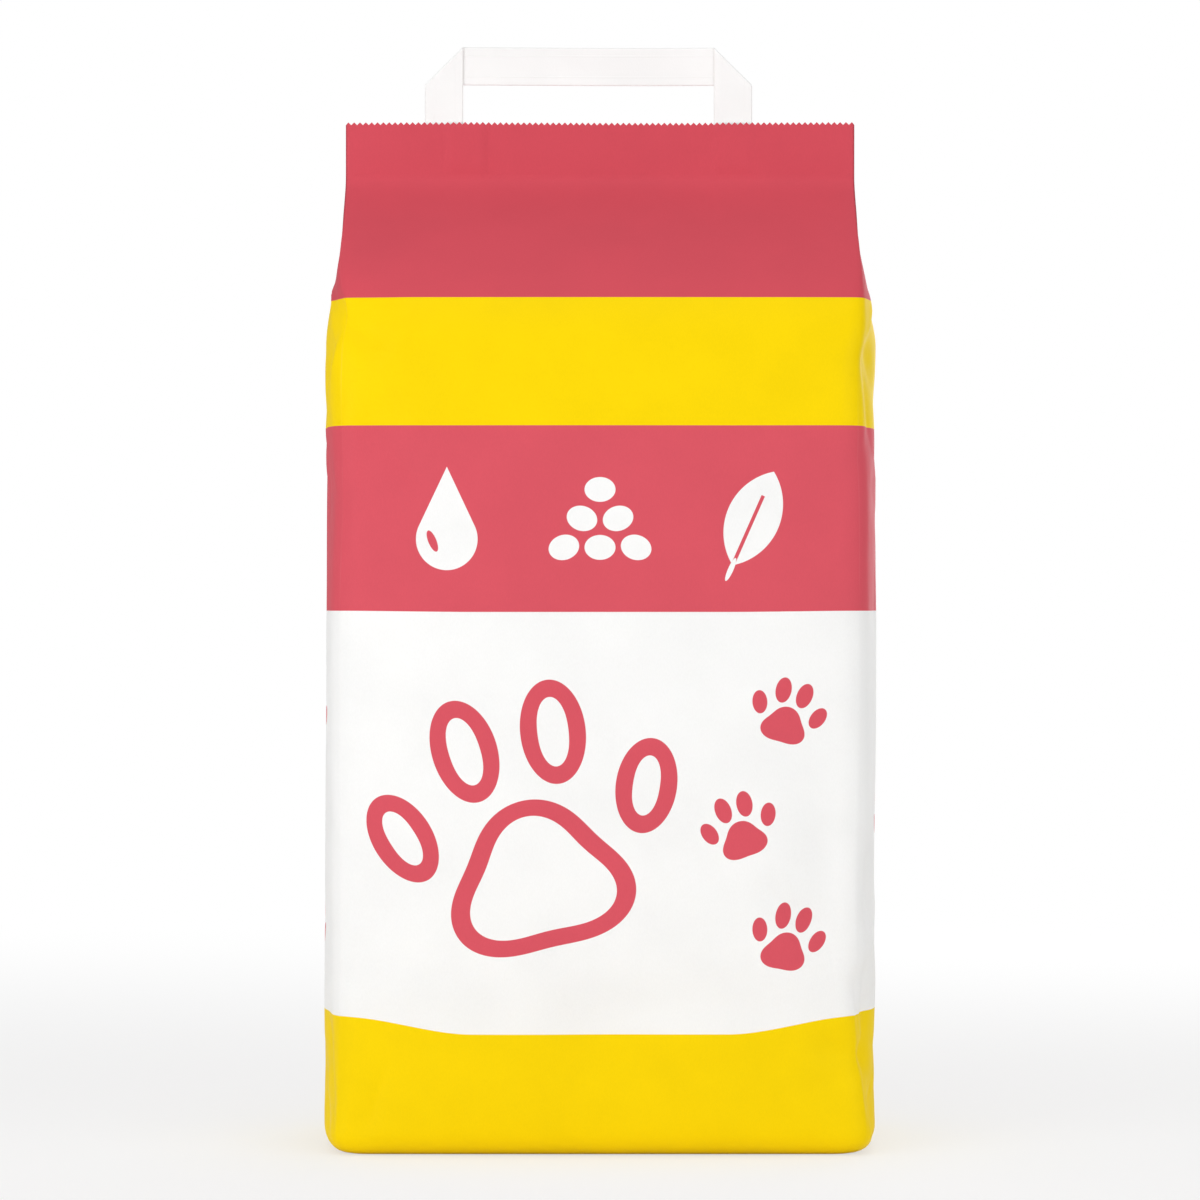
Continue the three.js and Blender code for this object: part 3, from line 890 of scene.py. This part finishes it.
def printed_paper():
    """Coated sack paper: the print, a little mottle in the ink, rubbed creases, and granules under it."""
    material, graph, shader = new_material("printed_paper")
    point = graph.node("ShaderNodeTexCoord").outputs["Object"]
    paper = graph.node("ShaderNodeUVMap", uv_map="paper").outputs["UV"]
    sheet = graph.use(print_group(), Paper=paper)
    grain = graph.use(GRAIN, Point=point)
    tone = graph.rise(grain["Cloud"], 0.25, 0.75, 0.975, 1.01)
    tone = graph.math("ADD", tone, graph.rise(grain["Fibre"], 0.3, 0.7, -0.012, 0.012))
    shade = graph.node("ShaderNodeCombineXYZ", {axis: tone for axis in "XYZ"}).outputs[0]
    inputs = {0: 1.0, 6: sheet["Color"], 7: shade}
    toned = graph.node("ShaderNodeMix", inputs, data_type="RGBA", blend_type="MULTIPLY").outputs[2]
    scuff = graph.rise(grain["Cloud"], 0.4, 0.75, 0.01, 0.1)
    rubbed = graph.math("MULTIPLY", sheet["Crease"], scuff)
    graph.feed(shader["Base Color"], graph.mix(rubbed, toned, WHITE_PAPER))
    rough = graph.math("SUBTRACT", 0.6, graph.math("MULTIPLY", sheet["Ink"], 0.1))
    uneven = graph.rise(grain["Cloud"], 0.3, 0.7, -0.04, 0.04)
    graph.feed(shader["Roughness"], graph.math("ADD", rough, uneven))
    shader["Specular IOR Level"].default_value = 0.05
    granules = graph.noise(point, 170.0, 1.0)
    lumps = graph.math("MULTIPLY", graph.math("MULTIPLY", granules, sheet["Filled"]), 0.5)
    height = graph.math("ADD", lumps, graph.math("MULTIPLY", grain["Fibre"], 0.05))
    bump = graph.node("ShaderNodeBump", {"Strength": 0.35, "Distance": 1.0 * MM, "Height": height})
    graph.feed(shader["Normal"], bump.outputs["Normal"])
    return material


def handle_paper():
    """Uncoated white tape of several plies: fibres, faint lines along it, and painted grey shade along its
    edges.
    """
    material, graph, shader = new_material("handle_paper")
    point = graph.node("ShaderNodeTexCoord").outputs["Object"]
    paper = graph.node("ShaderNodeUVMap", uv_map="paper").outputs["UV"]
    across = graph.node("ShaderNodeSeparateXYZ", {0: paper}).outputs["Y"]
    grain = graph.use(GRAIN, Point=point)
    half = TAPE_WIDTH / 2
    # Grey painted on the tape's rounded edges: painted shade where they turn away from the light.
    edge = graph.rise(graph.math("ABSOLUTE", across), half - 0.5 * MM, half, 0.0, 0.35)
    ply = graph.math("ABSOLUTE", graph.math("SUBTRACT", graph.math("ABSOLUTE", across), 0.55 * half))
    ply_line = graph.rise(ply, 0.0, 0.35 * MM, 1.0, 0.0)
    colour = graph.mix(graph.rise(grain["Cloud"], 0.3, 0.7), TAPE_SHADE, TAPE_WHITE)
    graph.feed(shader["Base Color"], graph.mix(edge, colour, TAPE_EDGE_SHADE))
    graph.feed(shader["Roughness"], graph.rise(grain["Fibre"], 0.3, 0.7, 0.68, 0.8))
    shader["Specular IOR Level"].default_value = 0.25
    fibres = graph.math("MULTIPLY", grain["Fibre"], 0.12)
    height = graph.math("SUBTRACT", fibres, graph.math("MULTIPLY", ply_line, 0.25))
    bump = graph.node("ShaderNodeBump", {"Strength": 0.5, "Distance": 0.5 * MM, "Height": height})
    graph.feed(shader["Normal"], bump.outputs["Normal"])
    return material


def floor_material():
    """Pale studio floor. To the camera it is mostly its own white, so that it keeps only a soft shadow."""
    material, graph, shader = new_material("studio_floor")
    shader["Base Color"].default_value = ink(246, 246, 246)
    shader["Roughness"].default_value = 0.9
    shader["Specular IOR Level"].default_value = 0.0
    nodes = material.node_tree.nodes
    ray = graph.node("ShaderNodeLightPath").outputs
    point = graph.node("ShaderNodeTexCoord").outputs["Object"]
    far = graph.rise(graph.vector("LENGTH", point), 0.25, 1.1, 0.6, 1.0)
    white = graph.node("ShaderNodeEmission", {"Color": (1, 1, 1, 1), "Strength": 1.0})
    blend = graph.node("ShaderNodeMixShader", {0: graph.math("MULTIPLY", far, ray["Is Camera Ray"])})
    graph.feed(blend.inputs[1], nodes["Principled BSDF"].outputs[0])
    graph.feed(blend.inputs[2], white.outputs[0])
    graph.feed(nodes["Material Output"].inputs["Surface"], blend.outputs[0])
    return material


def add_floor():
    """A wide level square under the sack."""
    half = 4.0
    corners = [(-half, -half, 0), (half, -half, 0), (half, half, 0), (-half, half, 0)]
    mesh = bpy.data.meshes.new("studio_floor")
    mesh.from_pydata(corners, [], [(0, 1, 2, 3)])
    floor = bpy.data.objects.new("studio_floor", mesh)
    mesh.materials.append(floor_material())
    bpy.context.scene.collection.objects.link(floor)


def add_world():
    """White to the camera, and an even soft light at a lower level on the object."""
    world = bpy.data.worlds.new("studio")
    bpy.context.scene.world = world
    world.use_nodes = True
    graph = Graph(world.node_tree)
    ray = graph.node("ShaderNodeLightPath").outputs
    background = world.node_tree.nodes["Background"].inputs
    background["Color"].default_value = (1, 1, 1, 1)
    graph.feed(background["Strength"], graph.rise(ray["Is Camera Ray"], 0.0, 1.0, AMBIENT, 1.0))


def add_softbox(name, place, size, power):
    """A square area light that faces the middle of the sack."""
    light = bpy.data.lights.new(name, "AREA")
    light.shape = "SQUARE"
    light.size = size
    light.energy = power
    lamp = bpy.data.objects.new(name, light)
    lamp.visible_camera = False
    lamp.location = place
    aim = lamp.location.copy()
    aim.z -= BAG_HEIGHT / 2
    lamp.rotation_euler = aim.to_track_quat("Z", "Y").to_euler()
    bpy.context.scene.collection.objects.link(lamp)


def add_camera():
    """A level camera straight in front, whose lens takes in the view's width at its distance."""
    data = bpy.data.cameras.new("photo_camera")
    data.sensor_width = SENSOR
    data.lens = SENSOR * CAMERA_DISTANCE / VIEW_WIDTH
    camera = bpy.data.objects.new("photo_camera", data)
    camera.location = (0, -CAMERA_DISTANCE, CAMERA_HEIGHT)
    camera.rotation_euler = (math.pi / 2, 0, 0)
    bpy.context.scene.collection.objects.link(camera)
    bpy.context.scene.camera = camera


def dress(piece, material, node):
    """Gives a piece its material and its place in the frame."""
    piece.data.materials.append(material)
    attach(piece, "root")
    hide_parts(node)


add_camera()
add_world()
add_softbox("key_softbox", place=(-0.8, -0.85, 0.32), size=0.7, power=4.4)
add_softbox("fill_softbox", place=(0.85, -0.8, 0.32), size=0.7, power=2.6)
add_softbox("top_softbox", place=(0, -0.5, 1.35), size=0.8, power=2.9)
add_softbox("back_softbox", place=(0.3, 1.1, 0.45), size=0.8, power=4.0)
add_floor()

sack = sack_mesh()
dress(sack, printed_paper(), "paper_sack")
handle = handle_mesh()
dress(handle, handle_paper(), "carry_handle")

bpy.context.scene.view_settings.view_transform = "Standard"
